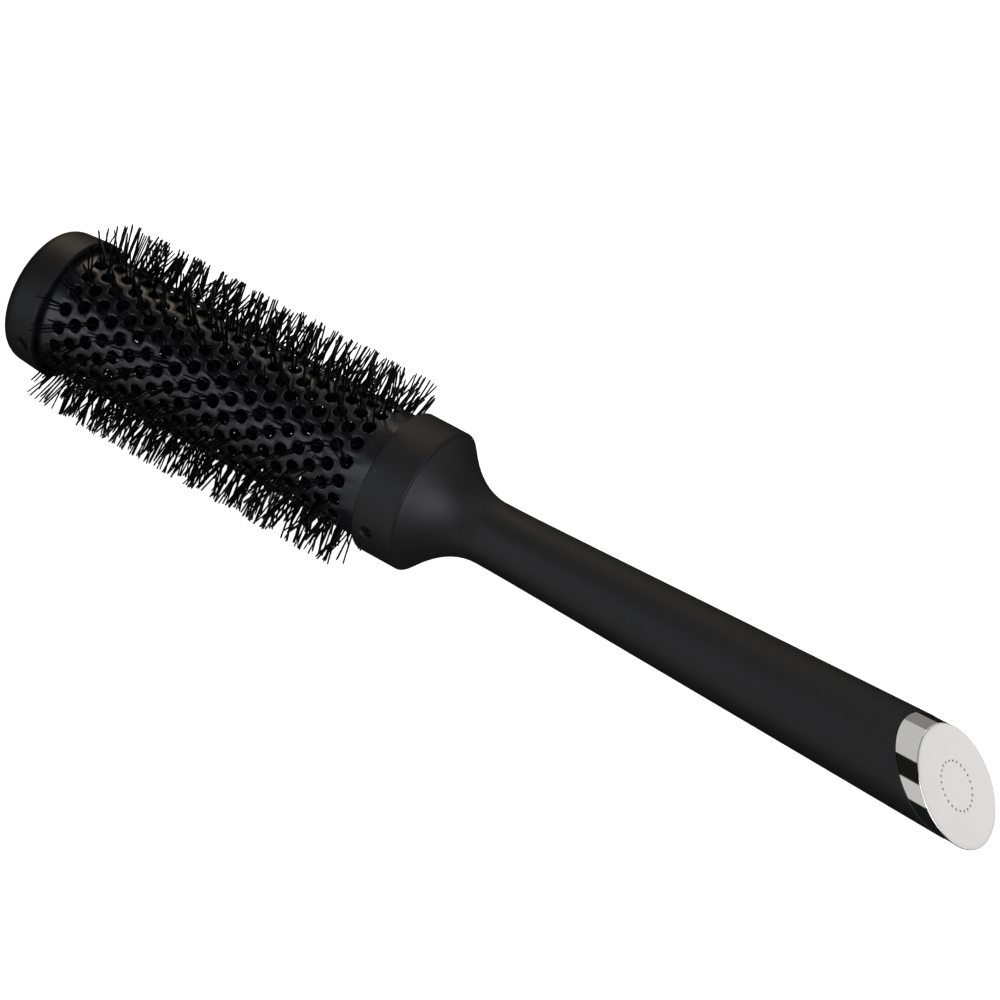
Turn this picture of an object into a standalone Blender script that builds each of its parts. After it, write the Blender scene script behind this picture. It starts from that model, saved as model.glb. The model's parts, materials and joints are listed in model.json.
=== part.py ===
"""Round barrel hair brush: a perforated barrel on a handle, with bristle tufts on a twisted wire core.

The brush lies along X, from the tip cap's flat face at the origin to the slanted butt of the handle.
Lengths are in metres. Neighbouring solids keep GAP between them.
"""

import math

import bmesh
import bpy
from mathutils import Matrix

# Clearance and facets
GAP = 0.0003
SIDES = 32
PIN_SIDES = 10
ON_AXIS = 1e-9
MERGE_DISTANCE = 0.00001
SHARP_ANGLE = math.radians(40)
FLAT_ANGLE = math.radians(0.2)

# Barrel: a perforated tube that the tip cap and the collar overlap
BARREL_RADIUS = 0.0160
BARREL_WALL = 0.0006
BARREL_EXPOSED = 0.0962
BARREL_SEAT_TIP = 0.0075
BARREL_SEAT_COLLAR = 0.0095

# Holes: rings of them along the barrel, each ring turned half a pitch from the one before
HOLE_DIAGONAL = 0.0042
HOLE_PITCH_AROUND = 0.0050
HOLE_PITCH_ALONG = 0.0042
FIRST_RING_FROM_TIP = 0.0054
LAST_RING_FROM_COLLAR = 0.0067

# Bristle tufts: one through each hole
BRISTLE_STAND = 0.0092
TUFT_WIDTH = 0.0017
TUFT_THICKNESS = 0.0016
TUFT_HUB_WALL = 0.0011

# Twisted wire core that holds the bristles
WIRE_RADIUS = 0.0008
WIRE_TWIST_PITCH = 0.0150
WIRE_POINTS_PER_TURN = 6
FERRULE_WALL = 0.0008
FERRULE_LENGTH = 0.0090

# Tip cap: its rim and its end stand out this far from the barrel
TIP_CAP_LENGTH = 0.0105
TIP_CAP_END_WALL = 0.0025
TIP_CAP_RIM_STAND = 0.0023
TIP_CAP_END_STAND = 0.0015
TIP_CAP_CORNER = 0.0030
TIP_PIN_FROM_RIM = 0.0029
CORNER_STEPS = 4

# Plugs inside the barrel's ends
PLUG_RIM = 0.0022
PLUG_WEB = 0.0024

# Collar, which stands out from the barrel, and its pins
COLLAR_LENGTH = 0.0110
COLLAR_STAND = 0.0020
COLLAR_EDGE = 0.0003
COLLAR_PIN_FROM_FRONT = 0.0041
PIN_RADIUS = 0.0012
PIN_RECESS = 0.0014
PIN_LENGTH = 0.0042

# Handle: a bell behind the collar, a neck and a straight cone to the butt
SHOULDER_STAND = 0.0018
BELL_LENGTH = 0.0163
BELL_POWER = 2.05
BELL_STEPS = 6
NECK_RADIUS = 0.0079
NECK_EASE = 0.0053
NECK_STATIONS = (2, 5)
GRIP_TAPER = 0.0306
GRIP_LENGTH = 0.1179
HANDLE_WALL = 0.0020
STUB_LENGTH = 0.0055

# Slanted butt: the seam and the end face lean towards the top of the brush
SEAM_ANGLE = math.radians(44.4)
FACE_ANGLE = math.radians(41.3)
BUTT_CAP_WIDTH = 0.0049
BUTT_CAP_STEP = 0.00015
BUTT_STUB_LENGTH = 0.0100
BUTT_STUB_SINK = 0.0010

# Places along the axis
TIP_RIM_X = TIP_CAP_LENGTH
COLLAR_X = TIP_RIM_X + BARREL_EXPOSED
SHOULDER_X = COLLAR_X + COLLAR_LENGTH
NECK_X = SHOULDER_X + BELL_LENGTH
SEAM_X = NECK_X + GRIP_LENGTH
FACE_X = SEAM_X + BUTT_CAP_WIDTH
BARREL_X = (TIP_RIM_X - BARREL_SEAT_TIP, COLLAR_X + BARREL_SEAT_COLLAR)
TIP_PIN_X = TIP_RIM_X - TIP_PIN_FROM_RIM
COLLAR_PIN_X = COLLAR_X + COLLAR_PIN_FROM_FRONT

# Sizes that follow from what fits what
TIP_CAP_RIM_RADIUS = BARREL_RADIUS + TIP_CAP_RIM_STAND
TIP_CAP_END_RADIUS = BARREL_RADIUS + TIP_CAP_END_STAND
COLLAR_RADIUS = BARREL_RADIUS + COLLAR_STAND
SHOULDER_RADIUS = BARREL_RADIUS + SHOULDER_STAND
TUFTS_AROUND = round(2 * math.pi * BARREL_RADIUS / HOLE_PITCH_AROUND)
HALF_PITCH = math.pi / TUFTS_AROUND
RING_COUNT = 1 + int((BARREL_EXPOSED - FIRST_RING_FROM_TIP - LAST_RING_FROM_COLLAR) / HOLE_PITCH_ALONG + 0.5)
BARREL_BORE = (BARREL_RADIUS - BARREL_WALL) * math.cos(HALF_PITCH)
SOCKET_RADIUS = BARREL_RADIUS + GAP
PLUG_RADIUS = BARREL_BORE - GAP
WIRE_HELIX_RADIUS = WIRE_RADIUS + GAP
CORE_RADIUS = WIRE_HELIX_RADIUS + WIRE_RADIUS
HUB_BORE = (CORE_RADIUS + GAP) / math.cos(math.pi / PIN_SIDES)
FERRULE_RADIUS = HUB_BORE + FERRULE_WALL
FERRULE_SOCKET = (FERRULE_RADIUS + GAP) / math.cos(math.pi / SIDES)
PIN_HOLE_RADIUS = (PIN_RADIUS + GAP) / math.cos(math.pi / PIN_SIDES)
PIN_OUTER = COLLAR_RADIUS - PIN_RECESS
TIP_FERRULE_X = TIP_CAP_END_WALL + GAP
STEM_FERRULE_X = SHOULDER_X + STUB_LENGTH - FERRULE_LENGTH

# Base colour, roughness and metallic value of each material
SOFT_TOUCH = ((0.028, 0.028, 0.030), 0.62, 0.0)
CERAMIC = ((0.050, 0.052, 0.060), 0.38, 0.6)
NYLON = ((0.012, 0.012, 0.013), 0.40, 0.0)
PLASTIC = ((0.020, 0.020, 0.021), 0.50, 0.0)
STEEL = ((0.45, 0.45, 0.46), 0.35, 1.0)
CHROME = ((0.80, 0.80, 0.79), 0.08, 1.0)


def clear_scene():
    for obj in list(bpy.data.objects):
        bpy.data.objects.remove(obj, do_unlink=True)


def collection(name):
    made = bpy.data.collections.new(name)
    bpy.context.scene.collection.children.link(made)
    return made


def dress(obj, finish):
    """Give the object its own Principled material with this (colour, roughness, metallic)."""
    colour, roughness, metallic = finish
    material = bpy.data.materials.new(obj.name)
    material.use_nodes = True
    shader = material.node_tree.nodes["Principled BSDF"]
    shader.inputs["Base Color"].default_value = (*colour, 1.0)
    shader.inputs["Roughness"].default_value = roughness
    shader.inputs["Metallic"].default_value = metallic
    obj.data.materials.clear()
    obj.data.materials.append(material)


def baked(obj):
    """Keep the evaluated mesh as the object's own, without the spare points of its cuts, shaded smooth."""
    bpy.context.view_layer.update()
    graph = bpy.context.evaluated_depsgraph_get()
    mesh = bpy.data.meshes.new_from_object(obj.evaluated_get(graph))
    mesh.name = obj.name
    obj.modifiers.clear()
    obj.data = mesh
    bm = bmesh.new()
    bm.from_mesh(mesh)
    bmesh.ops.remove_doubles(bm, verts=bm.verts, dist=MERGE_DISTANCE)
    bmesh.ops.dissolve_limit(bm, angle_limit=FLAT_ANGLE, verts=bm.verts, edges=bm.edges)
    bm.to_mesh(mesh)
    bm.free()
    mesh.shade_smooth()
    mesh.set_sharp_from_angle(angle=SHARP_ANGLE)
    return obj


def mesh_object(name, bm, group):
    mesh = bpy.data.meshes.new(name)
    bm.to_mesh(mesh)
    bm.free()
    obj = bpy.data.objects.new(name, mesh)
    group.objects.link(obj)
    return obj


def turned(name, profile, group, sides=SIDES):
    """Turn (x, radius) points round the brush's axis; the outer side runs from high x to low x."""
    closed = all(radius > ON_AXIS for _, radius in profile)
    bm = bmesh.new()
    corners = [bm.verts.new((radius, 0.0, x)) for x, radius in profile]
    for first, second in zip(corners, corners[1:]):
        bm.edges.new((first, second))
    if closed:
        bm.edges.new((corners[-1], corners[0]))
    obj = mesh_object(name, bm, group)
    obj.rotation_euler = (0.0, math.pi / 2, 0.0)
    screw = obj.modifiers.new("turn", "SCREW")
    screw.axis = "Z"
    screw.angle = 2 * math.pi
    screw.steps = sides
    screw.render_steps = sides
    screw.use_merge_vertices = True
    screw.merge_threshold = MERGE_DISTANCE
    return obj


def sleeve(name, start, end, radius, bore, group, sides=SIDES):
    """A plain tube from start to end along X."""
    profile = [(end, radius), (start, radius), (start, bore), (end, bore)]
    return turned(name, profile, group, sides)


def boolean(obj, other, operation="DIFFERENCE"):
    """Cut or join with another mesh object, which then counts as a helper."""
    other.hide_render = True
    other.display_type = "WIRE"
    modifier = obj.modifiers.new(other.name, "BOOLEAN")
    modifier.operation = operation
    modifier.solver = "EXACT"
    modifier.object = other
    return obj


def radial_bar(bm, x, angle, inner, outer, radius, sides):
    """Add a bar that points away from the axis at this angle, from one radius to another."""
    centre = Matrix.Translation((x, 0.0, (inner + outer) / 2))
    placed = Matrix.Rotation(angle, 4, "X") @ centre
    bmesh.ops.create_cone(
        bm, cap_ends=True, segments=sides, radius1=radius, radius2=radius, depth=outer - inner, matrix=placed
    )


def slant(x, angle):
    """Place at (x, 0, 0), with its own X axis turned towards +Z by the angle."""
    return Matrix.Translation((x, 0.0, 0.0)) @ Matrix.Rotation(-angle, 4, "Y")


def slanted_block(name, x, angle, keep_front, group):
    """A block whose one face is the slanted plane through (x, 0, 0): behind it, or in front of it."""
    size = GRIP_LENGTH
    middle = size / 2 if keep_front else -size / 2
    bm = bmesh.new()
    bmesh.ops.create_cube(bm, size=size, matrix=slant(x, angle) @ Matrix.Translation((middle, 0.0, 0.0)))
    return mesh_object(name, bm, group)


def ring_places():
    """(x, angle of the first tuft) of each ring of holes."""
    for ring in range(RING_COUNT):
        start = HALF_PITCH if ring % 2 == 0 else 0.0
        yield TIP_RIM_X + FIRST_RING_FROM_TIP + ring * HOLE_PITCH_ALONG, start


def bell_radius(x):
    """Outer radius of the bell: a falling power curve that meets the neck level."""
    share = min(max((x - SHOULDER_X) / BELL_LENGTH, 0.0), 1.0)
    return NECK_RADIUS + (SHOULDER_RADIUS - NECK_RADIUS) * (1 - share) ** BELL_POWER


def grip_radius(x):
    """Outer radius behind the neck: a cone that starts off level over NECK_EASE."""
    along = x - NECK_X
    return NECK_RADIUS + GRIP_TAPER * (along - NECK_EASE * (1 - math.exp(-along / NECK_EASE)))


def cut_pin_holes(obj, cutters):
    """Cut both pin holes of the tip cap or of the collar, whichever the piece spans."""
    for cutter in cutters:
        boolean(obj, cutter)
    return obj


def pin_cutters(label, x, helpers):
    cutters = []
    for side, angle in (("left", math.pi / 2), ("right", -math.pi / 2)):
        bm = bmesh.new()
        inner = PIN_OUTER - PIN_LENGTH - GAP
        outer = TIP_CAP_RIM_RADIUS + PIN_RECESS
        radial_bar(bm, x, angle, inner, outer, PIN_HOLE_RADIUS, PIN_SIDES)
        cutters.append(mesh_object(f"{label}_pin_hole_{side}", bm, helpers))
    return cutters


def make_pins(label, x, parts):
    """Two steel pins, pushed in from opposite sides, that hold the ring, the barrel and the plug."""
    for side, angle in (("left", math.pi / 2), ("right", -math.pi / 2)):
        bm = bmesh.new()
        radial_bar(bm, x, angle, PIN_OUTER - PIN_LENGTH, PIN_OUTER, PIN_RADIUS, PIN_SIDES)
        pin = mesh_object(f"{label}_pin_{side}", bm, parts)
        dress(baked(pin), STEEL)


def make_tip_cap(parts, cutters):
    """Cap over the barrel's far end, with a rounded corner. Its outline runs from inside to the end face."""
    profile = [
        (TIP_CAP_END_WALL, 0.0),
        (TIP_CAP_END_WALL, SOCKET_RADIUS),
        (TIP_RIM_X, SOCKET_RADIUS),
        (TIP_RIM_X, TIP_CAP_RIM_RADIUS),
    ]
    for step in range(CORNER_STEPS + 1):
        turn = math.pi / 2 * step / CORNER_STEPS
        along = TIP_CAP_CORNER * (1 - math.sin(turn))
        profile.append((along, TIP_CAP_END_RADIUS - TIP_CAP_CORNER * (1 - math.cos(turn))))
    profile.append((0.0, 0.0))
    cap = turned("tip_cap", profile, parts)
    cut_pin_holes(cap, cutters)
    dress(baked(cap), SOFT_TOUCH)


def make_tip_plug(parts, cutters):
    """Cup that fills the barrel's tip end and centres the wire core."""
    front = BARREL_X[0]
    web = front + PLUG_WEB
    profile = [
        (TIP_RIM_X, PLUG_RADIUS),
        (front, PLUG_RADIUS),
        (front, FERRULE_SOCKET),
        (web, FERRULE_SOCKET),
        (web, PLUG_RADIUS - PLUG_RIM),
        (TIP_RIM_X, PLUG_RADIUS - PLUG_RIM),
    ]
    plug = turned("tip_plug", profile, parts)
    cut_pin_holes(plug, cutters)
    dress(baked(plug), PLASTIC)


def make_barrel(parts, helpers, cutters):
    barrel = sleeve(
        "barrel_tube", *BARREL_X, BARREL_RADIUS, BARREL_RADIUS - BARREL_WALL, parts, TUFTS_AROUND
    )
    bm = bmesh.new()
    for x, start in ring_places():
        for tuft in range(TUFTS_AROUND):
            angle = start + 2 * HALF_PITCH * tuft
            inner = BARREL_RADIUS - 2 * BARREL_WALL
            radial_bar(bm, x, angle, inner, BARREL_RADIUS + BARREL_WALL, HOLE_DIAGONAL / 2, 4)
    boolean(barrel, mesh_object("barrel_holes", bm, helpers))
    cut_pin_holes(barrel, cutters)
    dress(baked(barrel), CERAMIC)


def tuft_outline(start):
    """Outline of one ring of tufts: spokes that widen outwards from a hub round the wire core."""
    root = HUB_BORE + TUFT_HUB_WALL
    reach = BARREL_RADIUS + BRISTLE_STAND
    half = TUFT_WIDTH / 2
    for tuft in range(TUFTS_AROUND):
        angle = start + 2 * HALF_PITCH * tuft
        along, across = math.cos(angle), math.sin(angle)
        for side in (-half, half):
            yield reach * along - side * across, reach * across + side * along
        yield root * math.cos(angle + HALF_PITCH), root * math.sin(angle + HALF_PITCH)


def make_bristle_ring(name, x, start, parts):
    """One ring of tufts: a flat star with a bore for the wire core, extruded along X."""
    curve = bpy.data.curves.new(name, "CURVE")
    curve.dimensions = "2D"
    curve.fill_mode = "BOTH"
    curve.extrude = TUFT_THICKNESS / 2
    bore = [
        (HUB_BORE * math.cos(2 * math.pi * k / PIN_SIDES), HUB_BORE * math.sin(2 * math.pi * k / PIN_SIDES))
        for k in range(PIN_SIDES)
    ]
    for outline in (list(tuft_outline(start)), bore):
        spline = curve.splines.new("POLY")
        spline.points.add(len(outline) - 1)
        spline.use_cyclic_u = True
        for point, (across, up) in zip(spline.points, outline):
            point.co = (across, up, 0.0, 1.0)
    flat = bpy.data.objects.new(name, curve)
    parts.objects.link(flat)
    bpy.context.view_layer.update()
    mesh = bpy.data.meshes.new_from_object(flat.evaluated_get(bpy.context.evaluated_depsgraph_get()))
    bpy.data.objects.remove(flat)
    bm = bmesh.new()
    bm.from_mesh(mesh)
    bmesh.ops.remove_doubles(bm, verts=bm.verts, dist=MERGE_DISTANCE)
    bmesh.ops.recalc_face_normals(bm, faces=bm.faces)
    ring = mesh_object(name, bm, parts)
    # The star's plane (X, Y) becomes the plane across the brush: its X turns to Z, and its Y to -Y.
    ring.matrix_world = Matrix.Translation((x, 0.0, 0.0)) @ Matrix(
        ((0.0, 0.0, 1.0, 0.0), (0.0, -1.0, 0.0, 0.0), (1.0, 0.0, 0.0, 0.0), (0.0, 0.0, 0.0, 1.0))
    )
    dress(baked(ring), NYLON)


def make_wire(name, phase, parts):
    """One of the two strands: a helix round the axis, as a curve with a round section."""
    start = TIP_CAP_END_WALL + 2 * GAP
    end = STEM_FERRULE_X + FERRULE_LENGTH
    turns = (end - start) / WIRE_TWIST_PITCH
    steps = math.ceil(turns * WIRE_POINTS_PER_TURN)
    curve = bpy.data.curves.new(name, "CURVE")
    curve.dimensions = "3D"
    curve.bevel_depth = WIRE_RADIUS
    curve.bevel_resolution = 1
    curve.use_fill_caps = True
    spline = curve.splines.new("POLY")
    spline.points.add(steps)
    for step, point in enumerate(spline.points):
        share = step / steps
        angle = phase + 2 * math.pi * turns * share
        along = start + (end - start) * share
        point.co = (along, WIRE_HELIX_RADIUS * math.cos(angle), WIRE_HELIX_RADIUS * math.sin(angle), 1.0)
    wire = bpy.data.objects.new(name, curve)
    parts.objects.link(wire)
    dress(wire, STEEL)


def make_ferrule(name, start, parts):
    ferrule = sleeve(name, start, start + FERRULE_LENGTH, FERRULE_RADIUS, HUB_BORE, parts, PIN_SIDES * 2)
    dress(baked(ferrule), STEEL)


def make_collar(parts, cutters):
    profile = [
        (SHOULDER_X, COLLAR_RADIUS),
        (COLLAR_X + COLLAR_EDGE, COLLAR_RADIUS),
        (COLLAR_X, COLLAR_RADIUS - COLLAR_EDGE),
        (COLLAR_X, SOCKET_RADIUS),
        (SHOULDER_X, SOCKET_RADIUS),
    ]
    collar = turned("collar_ring", profile, parts)
    cut_pin_holes(collar, cutters)
    dress(baked(collar), SOFT_TOUCH)


def stub_radius():
    """The spigot's stub clears the bell's wall at the stub's end."""
    return bell_radius(SHOULDER_X + STUB_LENGTH) - HANDLE_WALL - GAP


def make_spigot(parts, cutters):
    """Plug that carries the barrel's rear end; its stub sits in the handle."""
    front = COLLAR_X
    back = SHOULDER_X - GAP
    end = SHOULDER_X + STUB_LENGTH
    profile = [
        (end, stub_radius()),
        (back, stub_radius()),
        (back, PLUG_RADIUS),
        (front, PLUG_RADIUS),
        (front, PLUG_RADIUS - PLUG_RIM),
        (back - PLUG_WEB, PLUG_RADIUS - PLUG_RIM),
        (back - PLUG_WEB, FERRULE_SOCKET),
        (end, FERRULE_SOCKET),
    ]
    spigot = turned("barrel_spigot", profile, parts)
    cut_pin_holes(spigot, cutters)
    dress(baked(spigot), PLASTIC)


def handle_outline(end):
    """(x, radius) points of the handle's outside from the shoulder to the end, with x rising.

    Behind the neck a point stands at each of NECK_STATIONS, counted in lengths of NECK_EASE.
    """
    points = []
    for step in range(BELL_STEPS + 1):
        x = SHOULDER_X + GAP + (BELL_LENGTH - GAP) * step / BELL_STEPS
        points.append((x, bell_radius(x)))
    stations = [NECK_X + eases * NECK_EASE for eases in NECK_STATIONS]
    for x in stations + [end]:
        points.append((x, grip_radius(x)))
    return points


def make_handle(parts, helpers):
    """Hollow shell, open in front for the spigot's stub and at the slanted butt for the end cap's stub."""
    beyond = SEAM_X + 2 * grip_radius(SEAM_X)
    outside = handle_outline(beyond)
    bore = stub_radius() + GAP / math.cos(math.pi / SIDES)
    inside = [
        (SHOULDER_X + GAP, bore),
        (SHOULDER_X + STUB_LENGTH + GAP, bore),
        (NECK_X, NECK_RADIUS - HANDLE_WALL),
        (beyond, grip_radius(beyond) - HANDLE_WALL),
    ]
    handle = turned("handle_shell", outside[::-1] + inside, parts)
    boolean(handle, slanted_block("butt_cut", SEAM_X, SEAM_ANGLE, True, helpers))
    dress(baked(handle), SOFT_TOUCH)


def make_end_cap(parts, helpers):
    """Slanted cap: a band that carries on the handle's cone, with a stub that fills the handle's bore."""
    reach = 2 * grip_radius(SEAM_X)
    low, high = SEAM_X - reach, FACE_X + reach
    band = turned(
        "end_cap",
        [
            (high, 0.0),
            (high, grip_radius(high) - BUTT_CAP_STEP),
            (low, grip_radius(low) - BUTT_CAP_STEP),
            (low, 0.0),
        ],
        parts,
    )
    boolean(band, slanted_block("face_cut", FACE_X, FACE_ANGLE, True, helpers))
    seam = SEAM_X + GAP / math.cos(SEAM_ANGLE)
    boolean(band, slanted_block("seam_cut", seam, SEAM_ANGLE, False, helpers))
    short_side = SEAM_X - grip_radius(SEAM_X) * math.tan(SEAM_ANGLE)
    start = short_side - BUTT_STUB_LENGTH
    bore = grip_radius(start) - HANDLE_WALL - 2 * GAP
    stub = turned(
        "end_cap_stub", [(FACE_X, 0.0), (FACE_X, bore), (start, bore), (start, 0.0)], helpers
    )
    boolean(stub, slanted_block("stub_cut", SEAM_X + BUTT_STUB_SINK, SEAM_ANGLE, True, helpers))
    boolean(band, stub, "UNION")
    dress(baked(band), CHROME)


def main():
    clear_scene()
    parts = collection("round_barrel_brush")
    helpers = collection("cutters")
    tip_cutters = pin_cutters("tip", TIP_PIN_X, helpers)
    collar_cutters = pin_cutters("collar", COLLAR_PIN_X, helpers)
    make_tip_cap(parts, tip_cutters)
    make_tip_plug(parts, tip_cutters)
    make_pins("tip", TIP_PIN_X, parts)
    make_ferrule("tip_ferrule", TIP_FERRULE_X, parts)
    make_barrel(parts, helpers, tip_cutters + collar_cutters)
    make_wire("wire_strand_1", 0.0, parts)
    make_wire("wire_strand_2", math.pi, parts)
    for number, (x, start) in enumerate(ring_places(), 1):
        make_bristle_ring(f"bristle_ring_{number:02d}", x, start, parts)
    make_collar(parts, collar_cutters)
    make_spigot(parts, collar_cutters)
    make_pins("collar", COLLAR_PIN_X, parts)
    make_ferrule("stem_ferrule", STEM_FERRULE_X, parts)
    make_handle(parts, helpers)
    make_end_cap(parts, helpers)


main()
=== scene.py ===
"""Looks of a round barrel hair brush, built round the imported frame.

The brush lies along X, from the tip cap's flat face at the origin to the slanted butt.
Every length is in metres. Angles round the axis start at +Z and grow towards -Y.
"""

from __future__ import annotations

import json
import logging
import math
from dataclasses import dataclass
from enum import Enum
from typing import Any, Callable, Mapping, Sequence

import bmesh
import bpy
import numpy as np
from mathutils import Matrix, Vector


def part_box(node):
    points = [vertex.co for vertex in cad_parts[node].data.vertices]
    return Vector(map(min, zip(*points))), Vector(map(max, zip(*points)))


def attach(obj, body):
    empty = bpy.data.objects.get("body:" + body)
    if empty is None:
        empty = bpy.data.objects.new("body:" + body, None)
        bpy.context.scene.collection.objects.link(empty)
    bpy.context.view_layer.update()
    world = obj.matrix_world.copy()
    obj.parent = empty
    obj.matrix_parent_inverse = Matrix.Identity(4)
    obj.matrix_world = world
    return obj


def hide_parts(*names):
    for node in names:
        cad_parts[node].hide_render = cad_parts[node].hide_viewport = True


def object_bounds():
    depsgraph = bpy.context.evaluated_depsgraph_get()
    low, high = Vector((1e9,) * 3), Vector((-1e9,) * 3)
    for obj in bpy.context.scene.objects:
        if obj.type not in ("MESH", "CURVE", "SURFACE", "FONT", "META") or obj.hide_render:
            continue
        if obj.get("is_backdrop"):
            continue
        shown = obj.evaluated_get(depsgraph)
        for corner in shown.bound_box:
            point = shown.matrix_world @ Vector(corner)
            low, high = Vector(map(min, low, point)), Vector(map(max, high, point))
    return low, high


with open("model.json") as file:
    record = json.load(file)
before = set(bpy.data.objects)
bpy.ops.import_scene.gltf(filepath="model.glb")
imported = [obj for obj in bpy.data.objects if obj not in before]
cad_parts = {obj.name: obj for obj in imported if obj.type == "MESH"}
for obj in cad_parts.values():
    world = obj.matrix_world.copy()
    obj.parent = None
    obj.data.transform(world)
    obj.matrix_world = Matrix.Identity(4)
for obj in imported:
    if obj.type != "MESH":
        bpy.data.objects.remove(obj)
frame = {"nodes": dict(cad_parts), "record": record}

Array = np.ndarray
Colour = tuple[float, float, float]
Pair = tuple[float, float]
Outline = Sequence[Pair]

LOG = logging.getLogger("barrel_brush")
BODY = "root"
TURN = 2.0 * math.pi
WELD = 1.5e-6
CREASE = math.radians(38.0)
BUTT_CAP_WIDTH = 0.0049
SEAM_ANGLE = math.radians(44.4)
FACE_ANGLE = math.radians(41.3)
# Share of a filament's length at each of its rows, and its width there
FILAMENT_HEIGHTS = (0.0, 0.45, 0.66, 0.78, 0.90, 0.985, 1.0, 1.0)
FILAMENT_WIDTHS = (0.8, 1.0, 1.0, 1.0, 0.97, 0.92, 0.62, 0.0)


# Shader graph


class Wire:
    """An output of a node, on which Python arithmetic adds Math nodes."""

    def __init__(self, graph: Graph, socket: bpy.types.NodeSocket) -> None:
        """Keep the graph and the socket that this value comes from."""
        self.graph = graph
        self.socket = socket

    def math(self, operation: str, *values: Wire | float) -> Wire:
        """Result of a new Math node that does this operation on the values."""
        return self.graph.node("ShaderNodeMath", {"operation": operation}, dict(enumerate(values)))

    def __add__(self, other: Wire | float) -> Wire:
        """Sum of two values."""
        return self.math("ADD", self, other)

    def __radd__(self, other: float) -> Wire:
        """Sum with a plain number on the left."""
        return self.math("ADD", other, self)

    def __sub__(self, other: Wire | float) -> Wire:
        """Difference of two values."""
        return self.math("SUBTRACT", self, other)

    def __rsub__(self, other: float) -> Wire:
        """Difference with a plain number on the left."""
        return self.math("SUBTRACT", other, self)

    def __mul__(self, other: Wire | float) -> Wire:
        """Product of two values."""
        return self.math("MULTIPLY", self, other)

    def __rmul__(self, other: float) -> Wire:
        """Product with a plain number on the left."""
        return self.math("MULTIPLY", other, self)

    def step(self, low: float, high: float) -> Wire:
        """Ease from 0 at low to 1 at high, held outside."""
        settings = {"interpolation_type": "SMOOTHSTEP"}
        return self.graph.node("ShaderNodeMapRange", settings, {0: self, 1: low, 2: high})


class Graph:
    """The node tree of one material, with its Principled shader."""

    def __init__(self, name: str) -> None:
        """Make an empty material with this name and find its shader."""
        self.material = bpy.data.materials.new(name)
        self.material.use_nodes = True
        self.tree = self.material.node_tree
        self.shader = next(n for n in self.tree.nodes if n.type == "BSDF_PRINCIPLED")

    def node(
        self,
        kind: str,
        settings: Mapping[str, Any] | None = None,
        inputs: Mapping[int | str, Any] | None = None,
        output: int | str = 0,
    ) -> Wire:
        """Add any node.

        Args:
            kind: Blender's type name.
            settings: properties of the node, set first.
            inputs: values or wires of its sockets, by index or name.
            output: which of its outputs is wanted.

        Returns:
            That output.
        """
        made = self.tree.nodes.new(kind)
        for key, value in (settings or {}).items():
            setattr(made, key, value)
        for key, value in (inputs or {}).items():
            self.feed(made.inputs[key], value)
        return Wire(self, made.outputs[output])

    def feed(self, socket: bpy.types.NodeSocket, value: Any) -> None:
        """Link a wire to a socket, or set the socket's own value."""
        if isinstance(value, Wire):
            self.tree.links.new(value.socket, socket)
        else:
            socket.default_value = value

    def place(self, stretch: Colour = (1.0, 1.0, 1.0)) -> Wire:
        """Object coordinates, stretched along each axis.

        Args:
            stretch: factor of each axis.

        Returns:
            The coordinate vector.
        """
        at = self.node("ShaderNodeTexCoord", output="Object")
        if stretch == (1.0, 1.0, 1.0):
            return at
        return self.node("ShaderNodeVectorMath", {"operation": "MULTIPLY"}, {0: at, 1: stretch})

    def noise(self, per_metre: float, detail: float = 2.0, stretch: Colour = (1.0, 1.0, 1.0)) -> Wire:
        """Cloudy noise from 0 to 1, with so many lumps a metre, finer octaves and a stretch."""
        inputs = {"Vector": self.place(stretch), "Scale": per_metre, "Detail": detail}
        return self.node("ShaderNodeTexNoise", {"noise_dimensions": "3D"}, inputs)

    def mark(self, name: str) -> Wire:
        """A number that the mesh holds at each point."""
        return self.node("ShaderNodeAttribute", {"attribute_name": name}, output="Fac")

    def blend(self, factor: Wire | float, first: Colour | Wire, second: Colour | Wire) -> Wire:
        """Mix two colours.

        Args:
            factor: 0 gives the first colour and 1 the second.
            first: a colour or a wire.
            second: a colour or a wire.

        Returns:
            The mixed colour.
        """
        pair = [c if isinstance(c, Wire) else (*c, 1.0) for c in (first, second)]
        settings = {"data_type": "RGBA", "clamp_factor": True}
        return self.node("ShaderNodeMix", settings, {0: factor, 6: pair[0], 7: pair[1]}, output=2)

    def relief(self, height: Wire, depth: float, strength: float = 1.0) -> Wire:
        """Turn a height from 0 to 1 into a bumped normal; depth is in metres."""
        return self.node("ShaderNodeBump", {}, {"Height": height, "Distance": depth, "Strength": strength})

    def finish(self, **sockets: Any) -> bpy.types.Material:
        """Feed the shader's sockets, named with _ for a space.

        Args:
            sockets: value or wire of each named socket.

        Returns:
            The finished material.
        """
        for name, value in sockets.items():
            self.feed(self.shader.inputs[name.replace("_", " ")], value)
        return self.material


# Finishes


class Slot(str, Enum):
    """The record's material slots."""

    SOFT_TOUCH = "soft_touch"
    CERAMIC = "ceramic_coating"
    NYLON = "nylon_bristle"
    PLASTIC = "black_plastic"
    STEEL = "steel"
    PIN_STEEL = "pin_steel"
    CHROME = "chrome_plate"


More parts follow.
